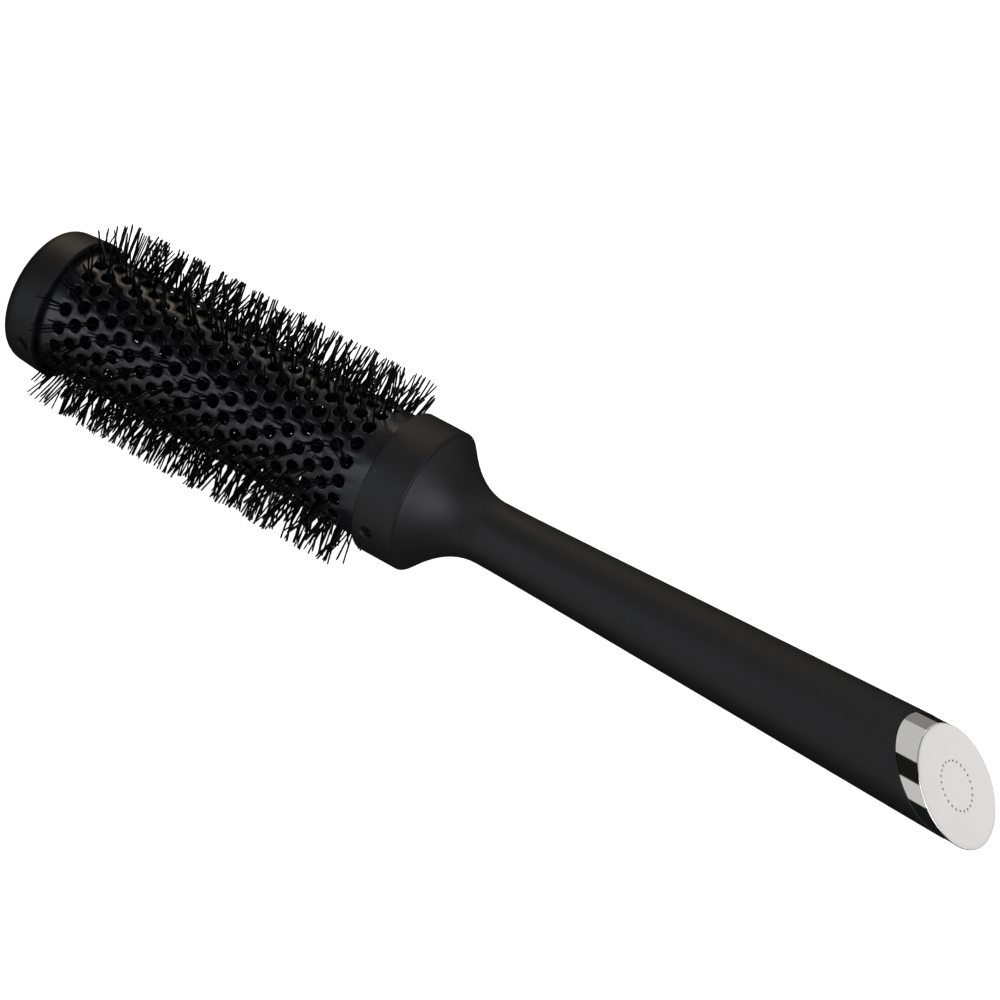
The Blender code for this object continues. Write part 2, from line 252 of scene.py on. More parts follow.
@dataclass(frozen=True)
class SoftTouch:
    """Matt rubbery paint: near black, with a fine grain, faint clouds and a few specks of dust."""

    dark: Colour = (0.0085, 0.0085, 0.0090)
    light: Colour = (0.0135, 0.0135, 0.0141)
    dust: Colour = (0.050, 0.050, 0.052)
    roughness: float = 0.50
    specular: float = 0.32
    grain_per_metre: float = 5200.0
    grain_depth: float = 0.000012

    def material(self) -> bpy.types.Material:
        """Build the paint.

        Returns:
            The material.
        """
        graph = Graph("soft_touch_paint")
        clouds = graph.noise(55.0, 3.0)
        grain = graph.noise(self.grain_per_metre, 2.0)
        specks = graph.noise(1500.0, 0.0).step(0.80, 0.84) * graph.noise(210.0, 1.0).step(0.5, 0.7)
        paint = graph.blend(clouds * 0.55 + grain * 0.45, self.dark, self.light)
        return graph.finish(
            Base_Color=graph.blend(specks * 0.5, paint, self.dust),
            Roughness=self.roughness + (clouds - 0.5) * 0.10 + (grain - 0.5) * 0.08,
            Specular_IOR_Level=self.specular,
            Normal=graph.relief(grain, self.grain_depth, 0.7),
        )


@dataclass(frozen=True)
class CeramicCoat:
    """Satin graphite coating with a fine fleck; at the holes' edges it is smoother and carries a painted
    highlight, a lighter, more metallic tone.
    """

    body: Colour = (0.010, 0.0105, 0.0125)
    fleck: Colour = (0.036, 0.037, 0.041)
    # light tone of the painted highlight at the holes' edges
    edge: Colour = (0.16, 0.16, 0.165)
    roughness: float = 0.31
    edge_roughness: float = 0.22
    specular: float = 0.55
    fleck_per_metre: float = 7000.0

    def material(self) -> bpy.types.Material:
        """Build the coating. The point value "rim" marks the holes' edges, where a painted highlight lightens
        the coating.

        Returns:
            The material.
        """
        graph = Graph("satin_ceramic_coat")
        fleck = graph.noise(self.fleck_per_metre, 1.0)
        clouds = graph.noise(90.0, 3.0)
        rim = graph.mark("rim").step(0.35, 0.95)
        # painted highlight on the holes' eased edges and walls, patchy with the clouds
        painted_rim_highlight = rim * (0.55 + clouds * 0.6)
        coat = graph.blend(fleck.step(0.50, 0.78), self.body, self.fleck)
        return graph.finish(
            Base_Color=graph.blend(painted_rim_highlight, coat, self.edge),
            Metallic=0.25 + painted_rim_highlight * 0.5,
            Roughness=self.roughness + (clouds - 0.5) * 0.10 - rim * (self.roughness - self.edge_roughness),
            Specular_IOR_Level=self.specular,
            Normal=graph.relief(fleck, 0.000006, 0.5),
        )


@dataclass(frozen=True)
class NylonFilament:
    """Black drawn nylon: each filament a little lighter or darker, paler where its tip was cut."""

    dark: Colour = (0.0014, 0.0014, 0.0016)
    light: Colour = (0.0058, 0.0058, 0.0062)
    cut: Colour = (0.014, 0.014, 0.015)
    roughness: float = 0.34
    specular: float = 0.16

    def material(self) -> bpy.types.Material:
        """Build the nylon. The point values "shade" and "along" give each filament's tone and height.

        Returns:
            The material.
        """
        graph = Graph("black_nylon_filament")
        body = graph.blend(graph.mark("shade"), self.dark, self.light)
        tip = graph.mark("along").step(0.93, 1.0)
        streak = graph.noise(2600.0, 1.0)
        return graph.finish(
            Base_Color=graph.blend(tip * 0.6, body, self.cut),
            Roughness=self.roughness + (streak - 0.5) * 0.16,
            Specular_IOR_Level=self.specular,
        )


@dataclass(frozen=True)
class MouldedPlastic:
    """Dark moulded plastic with a faint spark-eroded texture."""

    dark: Colour = (0.007, 0.007, 0.0075)
    light: Colour = (0.015, 0.015, 0.016)
    roughness: float = 0.48

    def material(self) -> bpy.types.Material:
        """Build the plastic.

        Returns:
            The material.
        """
        graph = Graph("moulded_black_plastic")
        grain = graph.noise(2400.0, 3.0)
        return graph.finish(
            Base_Color=graph.blend(grain, self.dark, self.light),
            Roughness=self.roughness + (grain - 0.5) * 0.2,
            Specular_IOR_Level=0.4,
            Normal=graph.relief(grain, 0.00002, 0.6),
        )


@dataclass(frozen=True)
class DrawnSteel:
    """Bare drawn steel, with die lines along one axis and slight stains."""

    name: str = "drawn_steel"
    tone: Colour = (0.42, 0.42, 0.43)
    stain: Colour = (0.20, 0.19, 0.18)
    roughness: float = 0.32
    stretch: Colour = (60.0, 2400.0, 2400.0)

    def material(self) -> bpy.types.Material:
        """Build the steel.

        Returns:
            The material.
        """
        graph = Graph(self.name)
        lines = graph.noise(1.0, 3.0, self.stretch)
        stains = graph.noise(420.0, 2.0).step(0.45, 0.75)
        return graph.finish(
            Base_Color=graph.blend(stains * 0.5 + lines * 0.25, self.tone, self.stain),
            Metallic=1.0,
            Roughness=self.roughness + (lines - 0.5) * 0.25,
            Normal=graph.relief(lines, 0.000008, 0.5),
        )


# The pins' near-black tone and stain are painted shade: they stand in for the shade down in the recesses over
# the pins and are far darker than bare drawn steel.
PIN_STEEL = DrawnSteel(
    name="pin_steel",
    tone=(0.07, 0.07, 0.075),
    stain=(0.02, 0.02, 0.02),
    roughness=0.38,
    stretch=(900.0, 60.0, 900.0),
)


@dataclass(frozen=True)
class ChromePlate:
    """Bright plate with hairline polish marks, and a satin grain on the butt's flat face."""

    bright: Colour = (0.83, 0.815, 0.79)
    satin: Colour = (0.80, 0.785, 0.775)
    shade: Colour = (0.66, 0.645, 0.63)
    polish: float = 0.055
    satin_roughness: float = 0.34

    def material(self) -> bpy.types.Material:
        """Build the plate. The point value "satin" marks the flat face.

        Returns:
            The material.
        """
        graph = Graph("chrome_plate")
        face = graph.mark("satin").step(0.4, 0.9)
        grain = graph.noise(5200.0, 2.0)
        clouds = graph.noise(130.0, 3.0)
        hair = graph.noise(1.0, 2.0, (260.0, 5200.0, 260.0))
        plain = graph.blend(clouds * 0.35 + grain * 0.20, self.satin, self.shade)
        mirror = graph.blend(hair * 0.25, self.bright, self.shade)
        rough = self.polish + (hair - 0.5) * 0.03 + clouds * 0.02
        flat_rough = self.satin_roughness + (grain - 0.5) * 0.12
        return graph.finish(
            Base_Color=graph.blend(face, mirror, plain),
            Metallic=1.0,
            Roughness=rough + face * (flat_rough - rough),
            Normal=graph.relief(grain, 0.000004, 0.35),
        )


# Surfaces


def grid_faces(rows: int, columns: int, wrap: bool = False) -> Array:
    """Corner numbers of the quads of a grid of points, row after row.

    Args:
        rows: points down the grid.
        columns: points across it.
        wrap: whether the last column joins the first.

    Returns:
        An array of quads, shaped (rows - 1, spans, 4).
    """
    index = np.arange(rows * columns).reshape(rows, columns)
    after = np.roll(index, -1, axis=1)
    quads = np.stack([index[:-1], after[:-1], after[1:], index[1:]], axis=-1)
    return quads if wrap else quads[:, :-1]


def around(x: Array, radius: Array, angle: Array) -> Array:
    """Points (x, -radius sin, radius cos) from places along the axis, radii and angles."""
    x, radius, angle = np.broadcast_arrays(x, radius, angle)
    return np.stack([x, -radius * np.sin(angle), radius * np.cos(angle)], axis=-1)


def turned(outline: Outline | Array, columns: int) -> Array:
    """Carry an outline of (x, radius) points round the axis.

    Args:
        outline: the points, in order.
        columns: how many steps round.

    Returns:
        A grid with a row for each point of the outline.
    """
    points = np.asarray(outline, float)
    angles = np.arange(columns) * TURN / columns
    return around(points[:, :1], points[:, 1:2], angles[None, :])


def fillet(start: Pair, corner: Pair, end: Pair, steps: int) -> Outline:
    """Round a corner: the quadratic curve from start to end that the corner pulls.

    Args:
        start: where the rounding leaves the first side.
        corner: the sharp corner.
        end: where it meets the second side.
        steps: spans of the curve.

    Returns:
        The points from start to end.
    """
    t = np.linspace(0.0, 1.0, steps + 1)[:, None]
    a, b, c = (np.asarray(p, float)[None, :] for p in (start, corner, end))
    curve = (1 - t) ** 2 * a + 2 * t * (1 - t) * b + t**2 * c
    return [tuple(p) for p in curve]


def punched_cell(side: int, half_u: float, half_v: float, rings: Outline) -> Array:
    """A rectangle with a round hole: its outline, then circles going down the hole.

    Each point of the outline is joined to the point of every circle that lies at the same
    bearing from the middle. A ring with an infinite radius is the outline itself.

    Args:
        side: spans along each side of the rectangle.
        half_u: half the rectangle's width.
        half_v: half its height.
        rings: (radius, depth) of each ring, from the outside of the rectangle inwards.

    Returns:
        An array (rings, 4 * side, 3) of (u, v, depth).
    """
    t = np.linspace(-1.0, 1.0, side + 1)[:-1]
    one = np.ones_like(t)
    u = np.concatenate([t, one, -t, -one]) * half_u
    v = np.concatenate([-one, t, one, -t]) * half_v
    bearing = np.arctan2(v, u)
    rows = []
    for radius, depth in rings:
        flat = (u, v) if math.isinf(radius) else (radius * np.cos(bearing), radius * np.sin(bearing))
        rows.append(np.stack([*flat, np.full_like(u, depth)], axis=-1))
    return np.stack(rows)


class Patchwork:
    """Grids of points gathered into one closed mesh, with numbers held at the points."""

    def __init__(self, *marks: str) -> None:
        """Start empty, with these point values."""
        self.points: list[Array] = []
        self.faces: list[Array] = []
        self.marks: dict[str, list[Array]] = {name: [] for name in marks}
        self.count = 0

    def add(self, points: Array, faces: Array, **marks: Array | float) -> None:
        """Add points and the quads between them.

        Args:
            points: any array of points.
            faces: quads that number those points from 0.
            marks: the value of each named mark, one number or one for each point.
        """
        shape = points.shape[:-1]
        self.points.append(points.reshape(-1, 3))
        self.faces.append(faces.reshape(-1, 4) + self.count)
        for name, kept in self.marks.items():
            kept.append(np.broadcast_to(np.asarray(marks.get(name, 0.0), float), shape).reshape(-1))
        self.count += self.points[-1].shape[0]

    def grids(self, points: Array, wrap: bool = False, **marks: Array | float) -> None:
        """Add one grid (rows, columns, 3) or many alike (number, rows, columns, 3)."""
        many = points.reshape(-1, *points.shape[-3:])
        number, rows, columns = many.shape[:3]
        faces = grid_faces(rows, columns, wrap).reshape(1, -1, 4)
        starts = np.arange(number)[:, None, None] * rows * columns
        self.add(points, faces + starts, **marks)

    def build(self, name: str) -> bpy.types.Object:
        """Weld the grids and make the object, with its faces turned outwards.

        Args:
            name: the object's name.

        Returns:
            The object, riding on the brush's body.
        """
        mesh = bpy.data.meshes.new(name)
        mesh.from_pydata(np.concatenate(self.points), [], np.concatenate(self.faces).tolist())
        for mark, kept in self.marks.items():
            layer = mesh.attributes.new(mark, "FLOAT", "POINT")
            layer.data.foreach_set("value", np.concatenate(kept).astype(np.float32))
        bm = bmesh.new()
        bm.from_mesh(mesh)
        bmesh.ops.remove_doubles(bm, verts=bm.verts, dist=WELD)
        if bm.calc_volume(signed=True) < 0.0:
            bmesh.ops.reverse_faces(bm, faces=bm.faces)
        open_edges = sum(1 for edge in bm.edges if len(edge.link_faces) != 2)
        bm.to_mesh(mesh)
        bm.free()
        mesh.shade_smooth()
        mesh.set_sharp_from_angle(angle=CREASE)
        obj = bpy.data.objects.new(name, mesh)
        bpy.context.scene.collection.objects.link(obj)
        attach(obj, BODY)
        LOG.info("%s: %d faces, %d open edges", name, len(mesh.polygons), open_edges)
        return obj


def dress(obj: bpy.types.Object, material: bpy.types.Material) -> None:
    """Give an object its only material.

    Args:
        obj: the piece or CAD node.
        material: its finish.
    """
    obj.data.materials.clear()
    obj.data.materials.append(material)


def span(*nodes: str) -> Pair:
    """Lowest and highest x of CAD nodes."""
    boxes = [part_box(node) for node in nodes]
    return min(low[0] for low, _ in boxes), max(high[0] for _, high in boxes)


def middle(node: str) -> Vector:
    """Middle of a CAD node's box."""
    low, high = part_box(node)
    return (Vector(low) + Vector(high)) / 2


def mount_place(name: str) -> float:
    """Where a mount of the record lies along the axis."""
    mounts = frame["record"]["mounts"]
    return float(next(m for m in mounts if m["name"] == name)["pos_m"][0])


@dataclass(frozen=True)
class Port:
    """A round recess in the side of a ring, over a fastening pin."""

    radius: float = 0.00168
    edge: float = 0.00020
    depth: float = 0.00175
    spans: int = 6
    row_pitch: float = 0.00070

    def rings(self) -> Outline:
        """Rings of the recess: the block's outline, an eased edge, the wall and the floor's middle.

        Returns:
            (radius, depth) of each ring.
        """
        wall = self.radius
        return [
            (math.inf, 0.0),
            (wall + self.edge * 1.6, 0.0),
            (wall + self.edge * 0.5, self.edge * 0.25),
            (wall, self.edge),
            (wall, self.depth - self.edge),
            (wall - self.edge, self.depth),
            (0.0, self.depth),
        ]

    def rows(self, x: float) -> Array:
        """Places along the axis of the grid rows that the recess's block spans."""
        return x + (np.arange(self.spans + 1) - self.spans / 2) * self.row_pitch


def ported_ring(
    patch: Patchwork,
    outline: Outline,
    columns: int,
    port: Port,
    x: float,
    radius_at: Callable[[Array], Array],
) -> None:
    """Turn a closed outline round the axis and set two recesses at -Y and +Y.

    The outline holds the port's rows in order. The blocks of quads under both ports are
    left out, and a punched cell with the same outline takes the place of each: its (u, v)
    are the arc round the axis and the way along it.

    Args:
        patch: where the surface goes.
        outline: (x, radius) points that start and end on the axis or close on themselves.
        columns: steps round the axis, a multiple of 4.
        port: the recess.
        x: its middle along the axis.
        radius_at: the outer radius at any x near it.
    """
    points = turned(outline, columns)
    faces = grid_faces(*points.shape[:2], wrap=True)
    kept = np.ones(faces.shape[:2], bool)
    spots = np.asarray(outline, float)
    rows = port.rows(x)
    first, last = (
        int(np.argmin(np.abs(spots[:, 0] - row) + np.abs(spots[:, 1] - radius_at(row))))
        for row in (rows[0], rows[-1])
    )
    low = min(first, last)
    order = slice(None, None, 1 if last > first else -1)
    half = port.spans // 2
    reach = radius_at(np.array(x))
    half_u = TURN / columns * port.spans / 2 * reach
    cell = punched_cell(port.spans, half_u, port.row_pitch * port.spans / 2, port.rings())
    place = x + cell[..., 1]
    for quarter in (1, 3):
        centre = quarter * columns // 4
        kept[low : low + port.spans, centre - half : centre + half] = False
        angle = quarter * TURN / 4 + cell[..., 0] / reach
        patch.grids(around(place, radius_at(place) - cell[..., 2], angle)[:, order], wrap=True)
    patch.add(points, faces[kept])


# Pieces


@dataclass
class Contour:
    """The outside of the collar's tail, the bell, the neck and the grip, as one curve of radius on x."""

    shoulder: float
    shoulder_radius: float = 0.0178
    collar_radius: float = 0.0180
    rounding: float = 0.00042
    bell_length: float = 0.0163
    bell_power: float = 2.05
    neck_radius: float = 0.0079
    taper: float = 0.0306
    ease: float = 0.0053

    def radius(self, x: Array) -> Array:
        """A falling power curve to the neck, then a cone that starts off level.

        The two sides of the shoulder, a level line and the power curve, meet in a soft
        minimum: minus k times the log of the sum of exp(-side / k).

        Args:
            x: places along the axis.

        Returns:
            The radius at each.
        """
        x = np.asarray(x, float)
        share = np.minimum((x - self.shoulder) / self.bell_length, 1.0)
        bell = self.neck_radius + (self.shoulder_radius - self.neck_radius) * (1.0 - share) ** self.bell_power
        k = self.rounding
        level = self.collar_radius
        eased = -k * np.log(np.exp(-(bell - level) / k) + 1.0) + level
        beyond = np.maximum(x - self.shoulder - self.bell_length, 0.0)
        cone = self.taper * (beyond - self.ease * (1.0 - np.exp(-beyond / self.ease)))
        return eased + cone


@dataclass
class TipCap:
    """The soft-touch cap on the barrel's far end, with a pin recess on each side."""

    finish: bpy.types.Material
    end_radius: float = 0.0175
    rim_radius: float = 0.0183
    corner: float = 0.0034
    bore: float = 0.0167
    floor: float = 0.0028
    lip: float = 0.00035
    columns: int = 168
    port: Port = Port(row_pitch=0.00066)

    def radius(self, x: Array) -> Array:
        """Outer radius of the cone between the face and the rim, a straight line in x."""
        return self.end_radius + (self.rim_radius - self.end_radius) * np.asarray(x) / self.rim

    def spot(self, x: float) -> Pair:
        """Point of the cone at a place along the axis."""
        return x, float(self.radius(x))

    def build(self) -> None:
        """Turn the cap's outline: face, rounded corner, cone, rounded rim, bore and floor."""
        start, self.rim = span("tip_cap")
        pin = middle("tip_pin_left").x
        c, lip, rim, top, bore = self.corner, self.lip, self.rim, self.rim_radius, self.bore
        outline: list[Pair] = [(start, 0.0)]
        outline += [(start, r) for r in np.linspace(0.2, 0.96, 6) * (self.end_radius - c)]
        outline += fillet((start, self.end_radius - c), (start, self.spot(0.0)[1]), self.spot(c), 9)
        outline += [self.spot(float(x)) for x in self.port.rows(pin)]
        outline += fillet(self.spot(rim - lip), (rim, top), (rim, top - lip), 4)
        outline += fillet((rim, bore + lip), (rim, bore), (rim - lip, bore), 4)
        outline += [(x, bore) for x in np.linspace(rim - 2 * lip, self.floor, 5)]
        outline += [(self.floor, r) for r in np.linspace(bore * 0.8, 0.0, 5)]
        patch = Patchwork()
        ported_ring(patch, outline, self.columns, self.port, pin, self.radius)
        cap = patch.build("tip_cap_shell")
        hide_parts("tip_cap")
        dress(cap, self.finish)


@dataclass
class Collar:
    """The soft-touch ring between the barrel and the handle."""

    finish: bpy.types.Material
    radius: float = 0.0180
    bore: float = 0.0163
    lip: float = 0.00040
    seam_lip: float = 0.00042
    bore_row: float = 0.003
    columns: int = 168
    port: Port = Port()

    def level(self, x: Array) -> Array:
        """Outer radius of the cylinder, the same at any x."""
        return np.full_like(np.asarray(x, float), self.radius)

    def build(self) -> None:
        """Turn the collar's outline: rounded front edge, cylinder, parting edge and bore."""
        front, back = span("collar_ring")
        pin = middle("collar_pin_left").x
        lip, seam = self.lip, self.seam_lip
        top = self.radius
        outline: list[Pair] = []
        outline += fillet((front + lip, self.bore), (front, self.bore), (front, self.bore + lip), 3)
        outline += fillet((front, top - lip), (front, top), (front + lip, top), 5)
        outline += [(float(x), top) for x in self.port.rows(pin)]
        outline += [(float(x), top) for x in np.linspace(outline[-1][0], back - seam, 6)[1:]]
        outline += fillet((back - seam, top), (back - seam * 0.4, top), (back, top - seam), 4)[1:]
        outline += [(back, self.bore), (back - self.bore_row, self.bore), outline[0]]
        patch = Patchwork()
        ported_ring(patch, outline, self.columns, self.port, pin, self.level)
        ring = patch.build("collar_ring_shell")
        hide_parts("collar_ring")
        dress(ring, self.finish)


@dataclass
class FasteningPins:
    """The four steel pins that hold the barrel's ends, each with a domed head."""

    finish: bpy.types.Material
    radius: float = 0.00118
    dome: float = 0.00030
    columns: int = 20

    def build(self) -> None:
        """Turn a short bar with a dome: its height falls with the square of the distance from its middle."""
        share = np.linspace(0.0, 1.0, 6)
        for node in ("tip_pin_left", "tip_pin_right", "collar_pin_left", "collar_pin_right"):
            low, high = (Vector(corner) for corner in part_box(node))
            x = (low.x + high.x) / 2
            side = 1.0 if high.y > 0 else -1.0
            inner, outer = sorted((abs(low.y), abs(high.y)))
            reach = np.concatenate([share * self.radius, [self.radius, 0.0]])[:, None]
            height = np.concatenate([outer - self.dome * share**2, [inner, inner]])[:, None]
            angle = np.arange(self.columns)[None, :] * TURN / self.columns
            axes = (x + reach * np.cos(angle), side * height, reach * np.sin(angle))
            points = np.stack(np.broadcast_arrays(*axes), axis=-1)
            patch = Patchwork()
            patch.grids(points, wrap=True)
            pin = patch.build(node + "_turned")
            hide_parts(node)
            dress(pin, self.finish)


@dataclass
class Barrel:
    """The coated tube, with rings of round holes that have an eased edge."""

    finish: bpy.types.Material
    radius: float = 0.0160
    wall: float = 0.0006
    hole: float = 0.00176
    edge: float = 0.00013
    holes_around: int = 20
    side: int = 6

    def ring_places(self) -> Array:
        """Middle along the axis of each ring of holes, from the CAD's tuft rings."""
        names = sorted(name for name in frame["nodes"] if name.startswith("bristle_ring_"))
        return np.array([middle(name).x for name in names])

    def phase(self, number: int) -> float:
        """Angle of a ring's first hole: every other ring is turned by half a cell."""
        return TURN / self.holes_around / 2 if number % 2 == 0 else 0.0

    def build(self) -> None:
        """Lay punched cells in staggered rings, and a plain band at each end.

        A cell's (u, v) are the arc and the way along the axis, and its depth is taken off
        the radius. Phase turns every other ring.
        """
        start, end = span("barrel_tube")
        rings = self.ring_places()
        pitch = float(np.diff(rings).mean())
        step = TURN / self.holes_around
        inner = self.radius - self.wall
        hole, edge, wall = self.hole, self.edge, self.wall
        levels = [
            (math.inf, 0.0),
            (hole + edge, 0.0),
            (hole + edge * 0.25, edge * 0.3),
            (hole, edge),
            (hole, wall - edge),
            (hole + edge, wall),
            (math.inf, wall),
        ]
        cell = punched_cell(self.side, step / 2 * self.radius, pitch / 2, levels)
        turns = np.arange(self.holes_around) * step
        # rim mark: 1 on each hole's eased edge and wall, where the coating gets its painted highlight
        rim = np.array([0.0, 0.25, 1.0, 1.0, 1.0, 0.0, 0.0])[None, :, None]
        patch = Patchwork("rim")
        for number, x in enumerate(rings):
            angle = (turns + self.phase(number))[:, None, None] + cell[None, ..., 0] / self.radius
            points = around(x + cell[None, ..., 1], self.radius - cell[None, ..., 2], angle)
            patch.grids(points, wrap=True, rim=rim)
        columns = self.holes_around * self.side
        for edge_x, far in ((rings[0] - pitch / 2, start), (rings[-1] + pitch / 2, end)):
            way = np.linspace(edge_x, far, 6)
            outline = [(x, self.radius) for x in way] + [(x, inner) for x in way[::-1]]
            patch.grids(turned(outline, columns)[:, :: 1 if far == start else -1], wrap=True)
        tube = patch.build("barrel_punched")
        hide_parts("barrel_tube")
        dress(tube, self.finish)


@dataclass
class Bristles:
    """Rings of nylon tufts: filaments that start at the wire core, pass the holes and splay."""

    finish: bpy.types.Material
    barrel: Barrel
    per_tuft: int = 4
    trapped_per_ring: int = 70
    root_radius: float = 0.0021
    stand: float = 0.0092
    thickness: float = 0.00023
    crowd: float = 0.00100
    root_share: float = 0.30
    tuft_lean_degrees: float = 6.0
    fan_degrees: float = 2.5
    splay_degrees: float = 3.2
    stray_share: float = 0.12
    stray_degrees: float = 12.0
    bend: float = 0.03
    tip_spread: float = 0.00030
    trapped_drift: float = 0.0016
    trapped_gap: float = 0.0006
    trapped_spread: float = 0.0012
    trapped_width: float = 0.9
    sides: int = 5
    seed: int = 61

    def filaments(self, rng: np.random.Generator, x: float, phase: float) -> tuple[Array, Array, Array]:
        """Work out every filament of one ring.

        A filament keeps close to its tuft's radial line. Its distance from that line grows
        with the cube of the share of the way to the hole, and beyond it by the tangent of
        its lean, with a slight bend that grows with the square. The lean is the tuft's own
        plus the filament's small splay; a few strays splay more.

        Args:
            rng: source of the seeded draws.
            x: the ring's place along the axis.
            phase: angle of its first tuft.

        Returns:
            Points (filaments, rows, sides, 3), their tone and their share of the length.
        """
        tufts = self.barrel.holes_around
        count = tufts * self.per_tuft
        tuft_angle = np.repeat(phase + np.arange(tufts) * TURN / tufts, self.per_tuft)
        hub = self.barrel.radius
        place = rng.random(count) * TURN
        out = np.sqrt(rng.random(count)) * self.crowd
        at_hole = np.stack([out * np.cos(place), out * np.sin(place)], axis=-1)
        tuft_lean = np.repeat(rng.normal(0.0, self.tuft_lean_degrees, (tufts, 2)), self.per_tuft, axis=0)
        stray = (rng.random(count) < self.stray_share)[:, None]
        splay = np.where(stray, self.stray_degrees, self.splay_degrees)
        lean = np.tan(np.radians(tuft_lean + rng.normal(0.0, 1.0, (count, 2)) * splay))
        lean += at_hole / self.crowd * math.tan(math.radians(self.fan_degrees))
        bend = rng.normal(0.0, self.bend, (count, 2))
        tip = hub + self.stand - np.abs(rng.normal(0.0, self.tip_spread, count))
        heights = np.array(FILAMENT_HEIGHTS)
        radius = self.root_radius + (tip - self.root_radius)[:, None] * heights
        inside = np.clip((radius - self.root_radius) / (hub - self.root_radius), 0.0, 1.0) ** 3
        inside = self.root_share + (1.0 - self.root_share) * inside
        outside = np.maximum(radius - hub, 0.0)
        away = at_hole[:, None, :] * inside[..., None] + lean[:, None, :] * outside[..., None]
        away += bend[:, None, :] * (outside**2 / self.stand)[..., None]
        thick = self.thickness * rng.uniform(0.85, 1.15, count)
        width = thick[:, None] * np.array(FILAMENT_WIDTHS)
        facet = np.arange(self.sides) * TURN / self.sides
        dx = away[..., 0, None] + width[..., None] * np.cos(facet)
        dt = away[..., 1, None] + width[..., None] * np.sin(facet)
        points = spokes(x, radius[..., None], tuft_angle[:, None, None], dx, dt)
        shade = np.broadcast_to(rng.random(count)[:, None, None], points.shape[:-1])
        along = np.broadcast_to(heights[None, :, None], points.shape[:-1])
        return points, shade, along

    def trapped(self, rng: np.random.Generator, x: float, pitch: float) -> tuple[Array, Array, Array]:
        """Work out the filaments that found no hole and stay inside the tube.

        Each is a three-sided spoke at any angle, from the core to just under the wall,
        where it leans along the axis.

        Args:
            rng: source of the seeded draws.
            x: the ring's place along the axis.
            pitch: the way to the next ring.

        Returns:
            Points (filaments, rows, 3 sides, 3), their tone and their share of the length.
        """
        count = self.trapped_per_ring
        angle = (rng.random(count) * TURN)[:, None, None]
        start = x + (rng.random(count) - 0.5) * pitch
        drift = rng.normal(0.0, self.trapped_drift, (count, 2))
        wall = self.barrel.radius - self.barrel.wall
        end = wall - self.trapped_gap - rng.random(count) * self.trapped_spread
        heights = np.array([0.0, 0.5, 1.0])
        radius = (self.root_radius + (end - self.root_radius)[:, None] * heights)[..., None]
        facet = np.arange(3) * TURN / 3
        width = self.thickness * self.trapped_width
        dx = drift[:, 0, None, None] * (heights**2)[:, None] + width * np.cos(facet)
        dt = drift[:, 1, None, None] * (heights**2)[:, None] + width * np.sin(facet)
        points = spokes(start[:, None, None], radius, angle, dx, dt)
        shade = np.broadcast_to(rng.random(count)[:, None, None], points.shape[:-1])
        return points, shade, np.zeros(points.shape[:-1])

    def build(self) -> None:
        """Make one piece of each ring of tufts."""
        places = self.barrel.ring_places()
        pitch = float(np.diff(places).mean())
        for number, x in enumerate(places):
            rng = np.random.default_rng(self.seed + number)
            points, shade, along = self.filaments(rng, float(x), self.barrel.phase(number))
            patch = Patchwork("shade", "along")
            patch.grids(points, wrap=True, shade=shade, along=along)
            close_ends(patch, points[:, :1], shade[:, :1], along[:, :1])
            points, shade, along = self.trapped(rng, float(x), pitch)
            patch.grids(points, wrap=True, shade=shade, along=along)
            close_ends(patch, points[:, :1], shade[:, :1], along[:, :1])
            close_ends(patch, points[:, -1:, ::-1], shade[:, -1:], along[:, -1:])
            label = f"{number + 1:02d}"
            ring = patch.build("bristle_tufts_" + label)
            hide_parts("bristle_ring_" + label)
            dress(ring, self.finish)

def spokes(x: Array | float, radius: Array, angle: Array, along: Array, across: Array) -> Array:
    """Points at a radius and an angle, moved along the axis and across the radial line."""
    sine, cosine = np.sin(angle), np.cos(angle)
    return np.stack([x + along, -radius * sine - across * cosine, radius * cosine - across * sine], axis=-1)
def close_ends(patch: Patchwork, row: Array, shade: Array, along: Array) -> None:
    """Close an end of each filament with a fan from the middle of its last row of points."""
    hub = np.broadcast_to(row.mean(axis=2, keepdims=True), row.shape)
    fan = np.concatenate([hub, row], axis=1)
    patch.grids(fan, wrap=True, shade=np.repeat(shade, 2, axis=1), along=np.repeat(along, 2, axis=1))


@dataclass
class WireCore:
    """Two strands twisted round each other along the axis."""

    finish: bpy.types.Material
    wire: float = 0.00078
    helix: float = 0.00110
    pitch: float = 0.0150
    rows_per_turn: int = 24
    columns: int = 10

    def build(self) -> None:
        """Carry a circle along a helix.

        Its centre is (x, -helix sin, helix cos), and the angle grows by a turn each pitch.
        """
        for number, phase in ((1, 0.0), (2, math.pi)):
            node = f"wire_strand_{number}"
            start, end = span(node)
            rows = int((end - start) / self.pitch * self.rows_per_turn)
            x = np.linspace(start, end, rows)
            angle = phase + x * TURN / self.pitch
            centre = around(x, np.full_like(x, self.helix), angle)
            slope = self.helix * TURN / self.pitch
            tangent = np.stack([np.ones_like(x), -slope * np.cos(angle), -slope * np.sin(angle)], axis=-1)
            tangent /= np.linalg.norm(tangent, axis=-1, keepdims=True)
            outward = around(np.zeros_like(x), np.ones_like(x), angle)
            across = np.cross(tangent, outward)
            facet = np.arange(self.columns)[None, :, None] * TURN / self.columns
            loop = outward[:, None] * np.cos(facet) + across[:, None] * np.sin(facet)
            points = centre[:, None] + self.wire * loop
            caps = [np.broadcast_to(centre[i][None, None], (1, self.columns, 3)) for i in (0, -1)]
            patch = Patchwork()
            patch.grids(np.concatenate([caps[0], points, caps[1]]), wrap=True)
            strand = patch.build(f"twisted_wire_{number}")
            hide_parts(node)
            dress(strand, self.finish)


